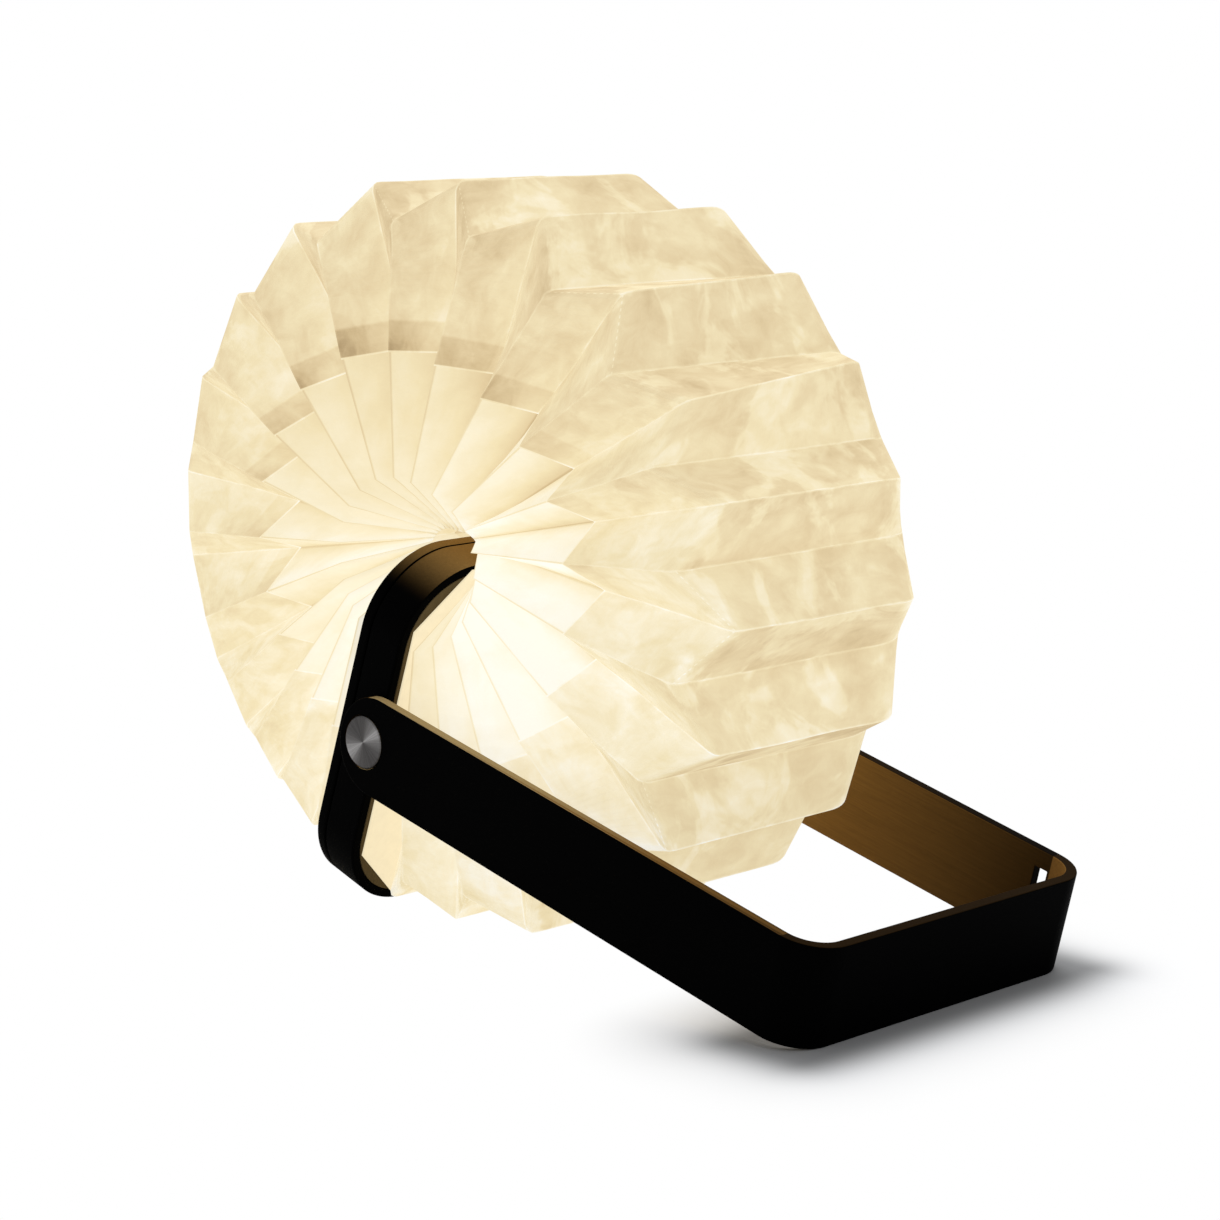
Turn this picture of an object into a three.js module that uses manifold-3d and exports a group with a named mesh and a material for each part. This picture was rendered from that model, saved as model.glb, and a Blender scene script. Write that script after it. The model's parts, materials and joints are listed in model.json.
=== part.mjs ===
// Accordion paper lamp: a book of pleated paper, opened all the way round between two covers that
// then lie back to back, propped up on a bent wooden strip that serves as handle and stand.
// Millimetres, +Z up. The lamp stands on the floor plane, its footprint centred on the origin.

import * as THREE from 'three';
import { mergeVertices } from 'three/addons/utils/BufferGeometryUtils.js';
import Module from 'manifold-3d';

const wasm = await Module();
wasm.setup();

// Clearance between pieces that touch, and how far a cutting tool runs past the wall it cuts
const seatGap = 0.3;
const overrun = 1;

// Bent strip: handle and stand
const stripSpan = 120;
const stripWidth = 30;
const stripThickness = 3.3;
const pivotToBase = 179;
const bendRadius = 13;
const endCentreFromPivot = 4.4;
const slotWidth = 4.4;
const slotLength = 19;
const slotFromBase = 16;

// Pivot caps, one at each arm
const capRadius = 7.85;
const capThickness = 1.5;
const capProud = 0.3;
const shankRadius = 1.25;
const washerThickness = 0.4;
const washerBore = 2.2;
const bracketThickness = 3;
const bracketWidth = 14;
const bracketFootLength = 12;
const bracketFootThickness = 1.5;

// Covers, measured from the pivot axis: up to the paper hub, down to the edge that stands on the floor
const coverAbovePivot = 55.7;
const coverBelowPivot = 57.9;
const coverCornerRadius = 25;
const coverEdgeRound = 0.7;
const frontThickness = 13.1;
const pivotToFrontFace = 1.9;
const backThickness = 3.9;
const coverSplay = THREE.MathUtils.degToRad(4.9);

// Front cover: a hollow tray closed by a plate
const trayWall = 2.8;
const trayFloor = 1.8;
const plateThickness = 2;
const postRadius = 3.4;
const postFromEdge = 17;
const screwRadius = 1.1;
const screwHeadRadius = 2.2;
const screwHeadHeight = 1;
const screwLength = 7;

// Back cover: a thin tray closed by a sheet
const backFloor = 1.2;
const backPlateThickness = 1.2;

// Magnets that hold the covers together
const magnetRadius = 5;
const magnetThickness = 1;
const magnetSpacing = 60;
const magnetFromFreeEdge = 14;

// Electric parts inside the front cover
const batteryWidth = 62;
const batteryLength = 40;
const batteryThickness = 5.6;
const batteryFromFreeEdge = 23;
const boardWidth = 52;
const boardLength = 20;
const boardThickness = 1.2;
const boardAbovePivot = 18;
const chipHeight = 1.6;
const chipSize = 7;
const chipSpacing = 14;
const socketWidth = 8.9;
const socketHeight = 3.2;
const socketLength = 7.3;
const socketWall = 0.4;
const leadRadius = 0.8;
const leadFromBatteryEdge = 3.4;

// Light bar on the front plate, near the paper hub
const lightBarFromSide = 28.4;
const lightBarLength = 11;
const lightBarThickness = 1.2;
const lightBarFromHubEdge = 12;
const emitterSize = 3;
const emitterHeight = 0.8;
const emitterCount = 6;
const diffuserWall = 0.8;
const diffuserHeight = 4;

// Paper: end cards glued to the covers and the folded shade between them
const cardInset = 4.2;
const cardCorner = 18;
const cardThickness = 0.6;
const cardBand = 17;
const foldWidth = 18;
const pleatCount = 22;
const hubRadius = 7.3;
const hubInset = 25.5;
const kneeRadius = 24.8;
const kneeInset = 4.4;
const stepRadius = 61.8;
const stepInset = 5.2;
const ridgeEndRadius = 100;
const ridgeEndInset = 13.2;
const crestRadius = 112.3;
const crestInset = 22.6;
const rimRun = 10;
const paperThickness = 0.4;
const floorClearance = 0.6;
// The pleats open wider on the handle's side and over the top than they do behind
const sagShare = 0.0486;
const crowdShare = 0.0273;
// The fan bulges to both sides of the covers, a little more behind them, and its top sinks
const bulgeShare = 0.0703;
const backBulgeShare = 0.0104;
const sinkShare = 0.0356;

// Sizes that follow
const halfSpan = stripSpan / 2;
const halfStrip = stripWidth / 2;
const coverHalfWidth = halfSpan - stripThickness - seatGap;
const frontOuter = frontThickness - pivotToFrontFace;
const frontInner = -pivotToFrontFace;
const backInner = frontOuter + seatGap + backThickness;
const backOuter = frontOuter + seatGap;
const hubY = (frontInner + backInner) / 2;
const hubZ = coverAbovePivot - seatGap;
const lightBarWidth = 2 * (coverHalfWidth - lightBarFromSide);
const cardOffset = (backInner - frontInner) / 2 + seatGap + cardThickness;

// Slope of the strip that puts both its base and the front cover's free edge on the floor
const slopeRise = coverBelowPivot * Math.cos(coverSplay) + pivotToFrontFace * Math.sin(coverSplay) - halfStrip;
const slopeRun = pivotToBase - pivotToFrontFace * Math.cos(coverSplay) + coverBelowPivot * Math.sin(coverSplay);
const stripSlope = Math.atan(slopeRise / slopeRun);
const coverLean = stripSlope + coverSplay;
const pivotHeight = pivotToBase * Math.sin(stripSlope) + halfStrip * Math.cos(stripSlope);

const arcSteps = 12;
const roundSteps = 32;

const finishes = {
  blackWood: new THREE.MeshStandardMaterial({ color: 0x15110f, roughness: 0.55 }),
  brownWood: new THREE.MeshStandardMaterial({ color: 0x4a3018, roughness: 0.6 }),
  brushedSteel: new THREE.MeshStandardMaterial({ color: 0xa7a7a9, roughness: 0.32, metalness: 1 }),
  paper: new THREE.MeshStandardMaterial({ color: 0xf3e3bd, roughness: 0.85 }),
  card: new THREE.MeshStandardMaterial({ color: 0xe9dcbb, roughness: 0.9 }),
  magnet: new THREE.MeshStandardMaterial({ color: 0xb9bbc0, roughness: 0.25, metalness: 1 }),
  battery: new THREE.MeshStandardMaterial({ color: 0xb4b6ba, roughness: 0.5, metalness: 0.4 }),
  board: new THREE.MeshStandardMaterial({ color: 0x1d5a33, roughness: 0.5 }),
  whiteBoard: new THREE.MeshStandardMaterial({ color: 0xf2f2ee, roughness: 0.5 }),
  diffuser: new THREE.MeshStandardMaterial({ color: 0xfaf6ea, roughness: 0.4 }),
  lead: new THREE.MeshStandardMaterial({ color: 0x9c2420, roughness: 0.6 }),
};

// Booleans

function solidOf(geometry) {
  const bare = geometry.index ? geometry.toNonIndexed() : geometry.clone();
  bare.deleteAttribute('normal');
  bare.deleteAttribute('uv');
  const merged = mergeVertices(bare);
  const vertProperties = new Float32Array(merged.attributes.position.array);
  const triVerts = new Uint32Array(merged.index.array);
  return new wasm.Manifold(new wasm.Mesh({ numProp: 3, vertProperties, triVerts }));
}

function geometryOf(solid) {
  const mesh = solid.getMesh();
  const geometry = new THREE.BufferGeometry();
  geometry.setAttribute('position', new THREE.BufferAttribute(new Float32Array(mesh.vertProperties), 3));
  geometry.setIndex(new THREE.BufferAttribute(new Uint32Array(mesh.triVerts), 1));
  return geometry;
}

function cut(body, tools) {
  let result = solidOf(body);
  for (const tool of tools) {
    result = result.subtract(solidOf(tool));
  }
  return geometryOf(result);
}

function join(bodies) {
  let result = solidOf(bodies[0]);
  for (const body of bodies.slice(1)) {
    result = result.add(solidOf(body));
  }
  return geometryOf(result);
}

// Shapes

function block(fromX, toX, fromY, toY, fromZ, toZ) {
  const box = new THREE.BoxGeometry(toX - fromX, toY - fromY, toZ - fromZ);
  return box.translate((fromX + toX) / 2, (fromY + toY) / 2, (fromZ + toZ) / 2);
}

function rodAlongX(radius, fromX, toX, y, z) {
  const rod = new THREE.CylinderGeometry(radius, radius, toX - fromX, roundSteps);
  return rod.rotateZ(Math.PI / 2).translate((fromX + toX) / 2, y, z);
}

function rodAlongY(radius, fromY, toY, x, z) {
  const rod = new THREE.CylinderGeometry(radius, radius, toY - fromY, roundSteps);
  return rod.translate(x, (fromY + toY) / 2, z);
}

// Slab whose outline is drawn in X and Z and whose thickness lies along Y
function slab(outline, fromY, toY, edgeRound = 0) {
  const geometry = new THREE.ExtrudeGeometry(outline, {
    depth: toY - fromY - 2 * edgeRound,
    curveSegments: arcSteps,
    bevelEnabled: edgeRound > 0,
    bevelSize: edgeRound,
    bevelOffset: -edgeRound,
    bevelThickness: edgeRound,
    bevelSegments: 2,
  });
  return geometry.rotateX(Math.PI / 2).translate(0, toY - edgeRound, 0);
}

// Rounded outline of a cover, drawn in by an inset all round
function coverOutline(inset) {
  const side = coverHalfWidth - inset;
  const top = coverAbovePivot - inset;
  const bottom = -coverBelowPivot + inset;
  const radius = coverCornerRadius - inset;
  const outline = new THREE.Shape();
  outline.absarc(side - radius, top - radius, radius, 0, Math.PI / 2);
  outline.absarc(-side + radius, top - radius, radius, Math.PI / 2, Math.PI);
  outline.absarc(-side + radius, bottom + radius, radius, Math.PI, 1.5 * Math.PI);
  outline.absarc(side - radius, bottom + radius, radius, 1.5 * Math.PI, 2 * Math.PI);
  outline.closePath();
  return outline;
}

// Oblong outline of a block with cut-off corners, centred on X
function chamferedOutline(halfWidth, bottom, top, corner) {
  const outline = new THREE.Shape();
  outline.moveTo(halfWidth - corner, bottom);
  outline.lineTo(halfWidth, bottom + corner);
  outline.lineTo(halfWidth, top - corner);
  outline.lineTo(halfWidth - corner, top);
  outline.lineTo(-halfWidth + corner, top);
  outline.lineTo(-halfWidth, top - corner);
  outline.lineTo(-halfWidth, bottom + corner);
  outline.lineTo(-halfWidth + corner, bottom);
  outline.closePath();
  return outline;
}

function addPiece(group, name, geometry, finish) {
  const mesh = new THREE.Mesh(geometry, finish);
  mesh.name = name;
  group.add(mesh);
  return mesh;
}

// Handle strip, in its own frame: the pivot axis is X and the arms run along -Y

function stripPath() {
  const outer = new THREE.Shape();
  const past = halfStrip + overrun;
  const base = -pivotToBase;
  const innerRadius = bendRadius - stripThickness;
  outer.moveTo(-halfSpan, past);
  outer.lineTo(-halfSpan, base + bendRadius);
  outer.absarc(-halfSpan + bendRadius, base + bendRadius, bendRadius, Math.PI, 1.5 * Math.PI);
  outer.absarc(halfSpan - bendRadius, base + bendRadius, bendRadius, 1.5 * Math.PI, 2 * Math.PI);
  outer.lineTo(halfSpan, past);
  outer.lineTo(halfSpan - stripThickness, past);
  outer.lineTo(halfSpan - stripThickness, base + bendRadius);
  outer.absarc(halfSpan - bendRadius, base + bendRadius, innerRadius, 0, -Math.PI / 2, true);
  outer.absarc(-halfSpan + bendRadius, base + bendRadius, innerRadius, -Math.PI / 2, -Math.PI, true);
  outer.lineTo(-halfSpan + stripThickness, past);
  outer.closePath();
  return outer;
}

// Side view of the strip: straight, with a round end beyond the pivot
function stripSideView() {
  const side = new THREE.Shape();
  side.moveTo(-pivotToBase - overrun, -halfStrip);
  side.lineTo(-endCentreFromPivot, -halfStrip);
  side.absarc(-endCentreFromPivot, 0, halfStrip, -Math.PI / 2, Math.PI / 2);
  side.lineTo(-pivotToBase - overrun, halfStrip);
  side.closePath();
  return side;
}

function buildStrip() {
  const bent = new THREE.ExtrudeGeometry(stripPath(), {
    depth: stripWidth,
    curveSegments: arcSteps,
    bevelEnabled: false,
  });
  bent.translate(0, 0, -halfStrip);
  const trim = new THREE.ExtrudeGeometry(stripSideView(), {
    depth: stripSpan + 2 * overrun,
    curveSegments: 2 * arcSteps,
    bevelEnabled: false,
  });
  const toSide = new THREE.Matrix4().makeBasis(
    new THREE.Vector3(0, 1, 0),
    new THREE.Vector3(0, 0, 1),
    new THREE.Vector3(1, 0, 0),
  );
  trim.applyMatrix4(toSide).translate(-halfSpan - overrun, 0, 0);
  let strip = solidOf(bent).intersect(solidOf(trim));
  const recess = capThickness - capProud + washerThickness + seatGap;
  for (const side of [-1, 1]) {
    const outside = side * (halfSpan + overrun);
    const recessFloor = side * (halfSpan - recess);
    const inside = side * (halfSpan - stripThickness - overrun);
    const cap = rodAlongX(capRadius + seatGap, Math.min(outside, recessFloor), Math.max(outside, recessFloor), 0, 0);
    const bore = rodAlongX(shankRadius + seatGap, Math.min(outside, inside), Math.max(outside, inside), 0, 0);
    strip = strip.subtract(solidOf(cap)).subtract(solidOf(bore));
  }
  const slotMiddle = -pivotToBase + slotFromBase;
  const slot = block(
    halfSpan - stripThickness - overrun,
    halfSpan + overrun,
    slotMiddle - slotWidth / 2,
    slotMiddle + slotWidth / 2,
    -slotLength / 2,
    slotLength / 2,
  );
  return geometryOf(strip.subtract(solidOf(slot)));
}

// Pivots, in the covers' frame: side is -1 at the near arm and 1 at the far arm

function buildPivotCap(side) {
  const face = halfSpan + capProud;
  const capBack = face - capThickness;
  const tip = coverHalfWidth - trayWall - seatGap - bracketThickness;
  const cap = rodAlongX(capRadius, capBack, face, 0, 0);
  const shank = rodAlongX(shankRadius, tip, capBack + overrun / 2, 0, 0);
  const turned = join([cap, shank]);
  return side > 0 ? turned : turned.rotateZ(Math.PI);
}

function buildPivotWasher(side) {
  const back = halfSpan + capProud - capThickness - seatGap / 2;
  const disc = rodAlongX(capRadius - washerThickness, back - washerThickness, back, 0, 0);
  const bore = rodAlongX(washerBore, back - washerThickness - overrun, back + overrun, 0, 0);
  const washer = cut(disc, [bore]);
  return side > 0 ? washer : washer.rotateZ(Math.PI);
}

// Steel angle inside the tray that holds the pivot's shank: an upright and a foot on the tray's floor
function buildPivotBracket(side) {
  const outerX = coverHalfWidth - trayWall - seatGap;
  const floorY = frontOuter - trayFloor - seatGap;
  const half = bracketWidth / 2;
  const upright = block(outerX - bracketThickness, outerX, frontInner + seatGap, floorY, -half, half);
  const foot = block(outerX - bracketFootLength, outerX, floorY - bracketFootThickness, floorY, -half, half);
  const bore = rodAlongX(shankRadius + seatGap, outerX - bracketThickness - overrun, outerX + overrun, 0, 0);
  const bracket = cut(join([upright, foot]), [bore]);
  if (side < 0) {
    bracket.scale(-1, 1, 1);
    bracket.setIndex(Array.from(bracket.index.array).reverse());
  }
  return bracket;
}

// Front cover

function postPlaces() {
  const x = coverHalfWidth - postFromEdge;
  return [
    [-x, coverAbovePivot - postFromEdge],
    [x, coverAbovePivot - postFromEdge],
    [-x, -coverBelowPivot + postFromEdge],
    [x, -coverBelowPivot + postFromEdge],
  ];
}

function socketSeat() {
  return {
    x: coverHalfWidth,
    z: boardAbovePivot,
    y: frontOuter - trayFloor - seatGap - boardThickness - seatGap - socketHeight / 2,
  };
}

function buildFrontTray() {
  const floorY = frontOuter - trayFloor;
  const plateBack = frontInner + plateThickness;
  const shell = slab(coverOutline(0), frontInner, frontOuter, coverEdgeRound);
  const hollow = slab(coverOutline(trayWall), frontInner - overrun, floorY);
  let tray = solidOf(shell).subtract(solidOf(hollow));
  for (const [x, z] of postPlaces()) {
    const post = rodAlongY(postRadius, plateBack + seatGap, floorY + trayFloor / 2, x, z);
    const hole = rodAlongY(screwRadius + seatGap, plateBack - overrun, floorY - seatGap, x, z);
    tray = tray.add(solidOf(post)).subtract(solidOf(hole));
  }
  for (const side of [-1, 1]) {
    const inside = side * (coverHalfWidth - trayWall - overrun);
    const outside = side * (coverHalfWidth + overrun);
    const bore = rodAlongX(shankRadius + seatGap, Math.min(inside, outside), Math.max(inside, outside), 0, 0);
    tray = tray.subtract(solidOf(bore));
  }
  for (const x of [-magnetSpacing / 2, magnetSpacing / 2]) {
    const z = -coverBelowPivot + magnetFromFreeEdge;
    const pocket = rodAlongY(magnetRadius + seatGap, floorY - overrun, floorY + magnetThickness, x, z);
    tray = tray.subtract(solidOf(pocket));
  }
  const seat = socketSeat();
  const mouth = block(
    coverHalfWidth - trayWall - overrun,
    coverHalfWidth + overrun,
    seat.y - socketHeight / 2 - seatGap,
    seat.y + socketHeight / 2 + seatGap,
    seat.z - socketWidth / 2 - seatGap,
    seat.z + socketWidth / 2 + seatGap,
  );
  return geometryOf(tray.subtract(solidOf(mouth)));
}

function buildFrontPlate() {
  const back = frontInner + plateThickness;
  const plate = slab(coverOutline(trayWall + seatGap), frontInner, back);
  const tools = [];
  for (const [x, z] of postPlaces()) {
    tools.push(rodAlongY(screwRadius + seatGap, frontInner - overrun, back + overrun, x, z));
    tools.push(rodAlongY(screwHeadRadius + seatGap, frontInner - overrun, frontInner + screwHeadHeight + seatGap, x, z));
  }
  const notchHalf = bracketWidth / 2 + seatGap;
  const notchFrom = coverHalfWidth - trayWall - bracketThickness - 2 * seatGap;
  for (const side of [-1, 1]) {
    const a = side * notchFrom;
    const b = side * (coverHalfWidth + overrun);
    tools.push(block(Math.min(a, b), Math.max(a, b), frontInner - overrun, back + overrun, -notchHalf, notchHalf));
  }
  const leadZ = lightBarZ() - lightBarLength / 2 - leadRadius - seatGap;
  tools.push(rodAlongY(leadRadius + seatGap, frontInner - overrun, back + overrun, 0, leadZ));
  return cut(plate, tools);
}

function buildPlateScrew([x, z]) {
  const head = rodAlongY(screwHeadRadius, frontInner, frontInner + screwHeadHeight, x, z);
  const shank = rodAlongY(screwRadius, frontInner + screwHeadHeight / 2, frontInner + screwLength, x, z);
  return join([head, shank]);
}

function buildFrontMagnet(side) {
  const floorY = frontOuter - trayFloor;
  const z = -coverBelowPivot + magnetFromFreeEdge;
  const top = floorY + magnetThickness - seatGap;
  return rodAlongY(magnetRadius, top - magnetThickness, top, (side * magnetSpacing) / 2, z);
}

// Electric parts, seated on the tray's floor

function buildBattery() {
  const floorY = frontOuter - trayFloor - seatGap;
  const bottom = -coverBelowPivot + batteryFromFreeEdge;
  const outline = chamferedOutline(batteryWidth / 2, bottom, bottom + batteryLength, batteryThickness / 4);
  return slab(outline, floorY - batteryThickness, floorY, batteryThickness / 8);
}

function buildBoard() {
  const floorY = frontOuter - trayFloor - seatGap;
  const top = floorY - boardThickness;
  const toX = coverHalfWidth - trayWall - seatGap;
  const middle = toX - boardWidth / 2;
  const parts = [
    block(toX - boardWidth, toX, top, floorY, boardAbovePivot - boardLength / 2, boardAbovePivot + boardLength / 2),
  ];
  for (const step of [-1, 0, 1]) {
    const x = middle - chipSpacing / 2 + step * chipSpacing;
    const z = boardAbovePivot;
    parts.push(block(x - chipSize / 2, x + chipSize / 2, top - chipHeight, top + boardThickness / 2,
      z - chipSize / 2, z + chipSize / 2));
  }
  return join(parts);
}

function buildSocket() {
  const seat = socketSeat();
  const halfWidth = socketWidth / 2;
  const halfHeight = socketHeight / 2;
  const shell = block(seat.x - socketLength, seat.x, seat.y - halfHeight, seat.y + halfHeight,
    seat.z - halfWidth, seat.z + halfWidth);
  const mouth = block(seat.x - socketLength + socketWall, seat.x + overrun,
    seat.y - halfHeight + socketWall, seat.y + halfHeight - socketWall,
    seat.z - halfWidth + socketWall, seat.z + halfWidth - socketWall);
  const tongue = block(seat.x - socketLength + socketWall / 2, seat.x - socketWall,
    seat.y - socketWall, seat.y + socketWall, seat.z - halfWidth / 2, seat.z + halfWidth / 2);
  return join([cut(shell, [mouth]), tongue]);
}

function lightBarZ() {
  return coverAbovePivot - lightBarFromHubEdge - lightBarLength / 2;
}

function buildLightBar() {
  const back = frontInner - seatGap;
  const front = back - lightBarThickness;
  const z = lightBarZ();
  const half = lightBarLength / 2;
  const parts = [block(-lightBarWidth / 2, lightBarWidth / 2, front, back, z - half, z + half)];
  const pitch = lightBarWidth / emitterCount;
  for (let i = 0; i < emitterCount; i += 1) {
    const x = -lightBarWidth / 2 + (i + 0.5) * pitch;
    parts.push(block(x - emitterSize / 2, x + emitterSize / 2, front - emitterHeight, front + lightBarThickness / 2,
      z - emitterSize / 2, z + emitterSize / 2));
  }
  return join(parts);
}

function buildDiffuser() {
  const back = frontInner - seatGap;
  const front = back - diffuserHeight;
  const z = lightBarZ();
  const halfWidth = lightBarWidth / 2 + seatGap + diffuserWall;
  const halfLength = lightBarLength / 2 + seatGap + diffuserWall;
  const outside = block(-halfWidth, halfWidth, front, back, z - halfLength, z + halfLength);
  const inside = block(-halfWidth + diffuserWall, halfWidth - diffuserWall, front + diffuserWall, back + overrun,
    z - halfLength + diffuserWall, z + halfLength - diffuserWall);
  return cut(outside, [inside]);
}

// Insulated lead between two places, with square ends
function buildLead(points) {
  const section = new THREE.Shape();
  section.absarc(0, 0, leadRadius, 0, 2 * Math.PI);
  const route = new THREE.CurvePath();
  for (let i = 1; i < points.length; i += 1) {
    route.add(new THREE.LineCurve3(points[i - 1], points[i]));
  }
  return new THREE.ExtrudeGeometry(section, { steps: points.length - 1, extrudePath: route, curveSegments: 4 });
}

function buildBatteryLead() {
  const y = frontOuter - trayFloor - seatGap - boardThickness / 2;
  const x = batteryWidth / 2 - leadFromBatteryEdge;
  const batteryTop = -coverBelowPivot + batteryFromFreeEdge + batteryLength + seatGap;
  const boardBottom = boardAbovePivot - boardLength / 2 - seatGap;
  return buildLead([new THREE.Vector3(x, y, batteryTop), new THREE.Vector3(x, y, boardBottom)]);
}

function buildLightLead() {
  const z = lightBarZ() - lightBarLength / 2 - leadRadius - seatGap;
  const start = frontInner + seatGap;
  const end = frontOuter - trayFloor - seatGap;
  return buildLead([new THREE.Vector3(0, start, z), new THREE.Vector3(0, end, z)]);
}

// Back cover

function buildBackTray() {
  const floorY = backOuter + backFloor;
  const shell = slab(coverOutline(0), backOuter, backInner, coverEdgeRound);
  const hollow = slab(coverOutline(trayWall), floorY, backInner + overrun);
  const tools = [hollow];
  for (const side of [-1, 1]) {
    const z = -coverBelowPivot + magnetFromFreeEdge;
    const x = (side * magnetSpacing) / 2;
    tools.push(rodAlongY(magnetRadius + seatGap, floorY - backFloor / 2, floorY + overrun, x, z));
  }
  return cut(shell, tools);
}

function buildBackPlate() {
  return slab(coverOutline(trayWall + seatGap), backInner - backPlateThickness, backInner);
}

function buildBackMagnet(side) {
  const from = backOuter + backFloor / 2 + seatGap;
  const z = -coverBelowPivot + magnetFromFreeEdge;
  return rodAlongY(magnetRadius, from, from + magnetThickness, (side * magnetSpacing) / 2, z);
}

// End card: a cut-cornered frame of stiff paper, glued to a cover and open in the middle

function buildCard(fromY, share) {
  const halfWidth = coverHalfWidth - cardInset;
  const direction = foldDirection(share);
  const reach = flooredRadius(crestRadius * bulge(direction), direction, foldOffset(share));
  const bottom = hubZ - reach;
  const top = coverAbovePivot - seatGap - overrun;
  const outline = chamferedOutline(halfWidth, bottom, top, cardCorner);
  const windowTop = lightBarZ() + lightBarLength / 2 + diffuserWall + 2 * seatGap;
  const window = chamferedOutline(halfWidth - cardBand, bottom + cardBand, windowTop, cardThickness);
  outline.holes.push(window);
  return slab(outline, fromY, fromY + cardThickness);
}

// Folded shade. Fold lines run from the hub out over the near end, along the crest and back over the
// far end. Crest lines are the outer edge of the drum and the inner edge of its two ends; ridge lines
// are the other way round, so mountain and valley change places at the corner.

const halfPitch = Math.PI / pleatCount;

function foldDepth(radius) {
  const spread = radius * halfPitch;
  return Math.sqrt(Math.max(foldWidth * foldWidth - spread * spread, 0));
}

function ridgeInsetAt(radius) {
  const share = (radius - stepRadius) / (ridgeEndRadius - stepRadius);
  return stepInset + share * (ridgeEndInset - stepInset);
}

// Half of a fold line, as inset from the strip's outer face and radius from the hub
function ridgeLine() {
  const shoulderRadius = (stepRadius + ridgeEndRadius) / 2;
  return [
    { inset: hubInset, radius: hubRadius },
    { inset: kneeInset, radius: kneeRadius },
    { inset: stepInset, radius: stepRadius },
    { inset: ridgeInsetAt(shoulderRadius), radius: shoulderRadius },
    { inset: ridgeEndInset, radius: ridgeEndRadius },
    { inset: ridgeEndInset + rimRun, radius: ridgeEndRadius },
  ];
}

function crestLine() {
  const shoulderRadius = (stepRadius + ridgeEndRadius) / 2;
  return [
    { inset: hubInset, radius: hubRadius },
    { inset: kneeInset + foldDepth(kneeRadius), radius: kneeRadius },
    { inset: stepInset + foldDepth(stepRadius), radius: stepRadius },
    { inset: ridgeInsetAt(shoulderRadius) + foldDepth(shoulderRadius), radius: shoulderRadius },
    { inset: crestInset, radius: crestRadius },
    { inset: crestInset + rimRun, radius: crestRadius },
  ];
}

// Where along its length a sheet is seen from, from its end (0) to its drum (1)
const inwardShares = [0, 0, 0, 0.15, 0.5, 1];

// The sheet's thickness, measured square to the end face or the drum rather than to the pleat
function sheetDepth(i, radius) {
  const step = Math.max(Math.abs(crestLine()[i].inset - ridgeLine()[i].inset),
    Math.abs(crestLine()[i].radius - ridgeLine()[i].radius));
  const spread = radius * halfPitch;
  return (paperThickness * Math.hypot(step, spread)) / spread;
}

// Direction of a fold line round the hub, and its distance from the plane through the hub's axis
function foldDirection(share) {
  const sag = sagShare * Math.sin(Math.PI * share);
  const crowd = crowdShare * Math.sin(2 * Math.PI * share);
  return Math.PI - 2 * Math.PI * (share + sag - crowd);
}

function bulge(direction) {
  const sideways = Math.sin(direction);
  const topness = (1 + Math.cos(direction)) / 2;
  return 1 + bulgeShare * sideways * sideways - backBulgeShare * sideways - sinkShare * topness;
}

function foldOffset(share) {
  return cardOffset * (1 - 2 * share);
}

// Point of a fold line in the covers' frame; direction 0 is up, and a quarter turn is towards the base
function foldPoint(x, radius, direction, sideways) {
  const up = radius * Math.cos(direction) + sideways * Math.sin(direction);
  const out = radius * Math.sin(direction) - sideways * Math.cos(direction);
  return new THREE.Vector3(x, hubY - out, hubZ + up);
}

// A radius shortened where the lamp's weight presses the paper flat on the floor
function flooredRadius(radius, direction, sideways) {
  const tip = foldPoint(0, radius, direction, sideways);
  const root = foldPoint(0, 0, direction, sideways);
  const height = (point) => pivotHeight + point.z * Math.cos(coverLean) + point.y * Math.sin(coverLean);
  const drop = height(root) - height(tip);
  const room = height(root) - floorClearance;
  return drop > room ? (radius * room) / drop : radius;
}

function foldLinePoints(halfLine, share, shift, inward) {
  const direction = foldDirection(share);
  const sideways = foldOffset(share) + shift;
  const near = [];
  const far = [];
  halfLine.forEach(({ inset, radius }, i) => {
    const depth = inward ? sheetDepth(i, radius) : 0;
    const x = halfSpan - inset - depth * (1 - inwardShares[i]);
    const reach = flooredRadius(radius * bulge(direction), direction, sideways) - depth * inwardShares[i];
    near.push(foldPoint(-x, reach, direction, sideways));
    far.unshift(foldPoint(x, reach, direction, sideways));
  });
  return near.concat(far);
}

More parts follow.
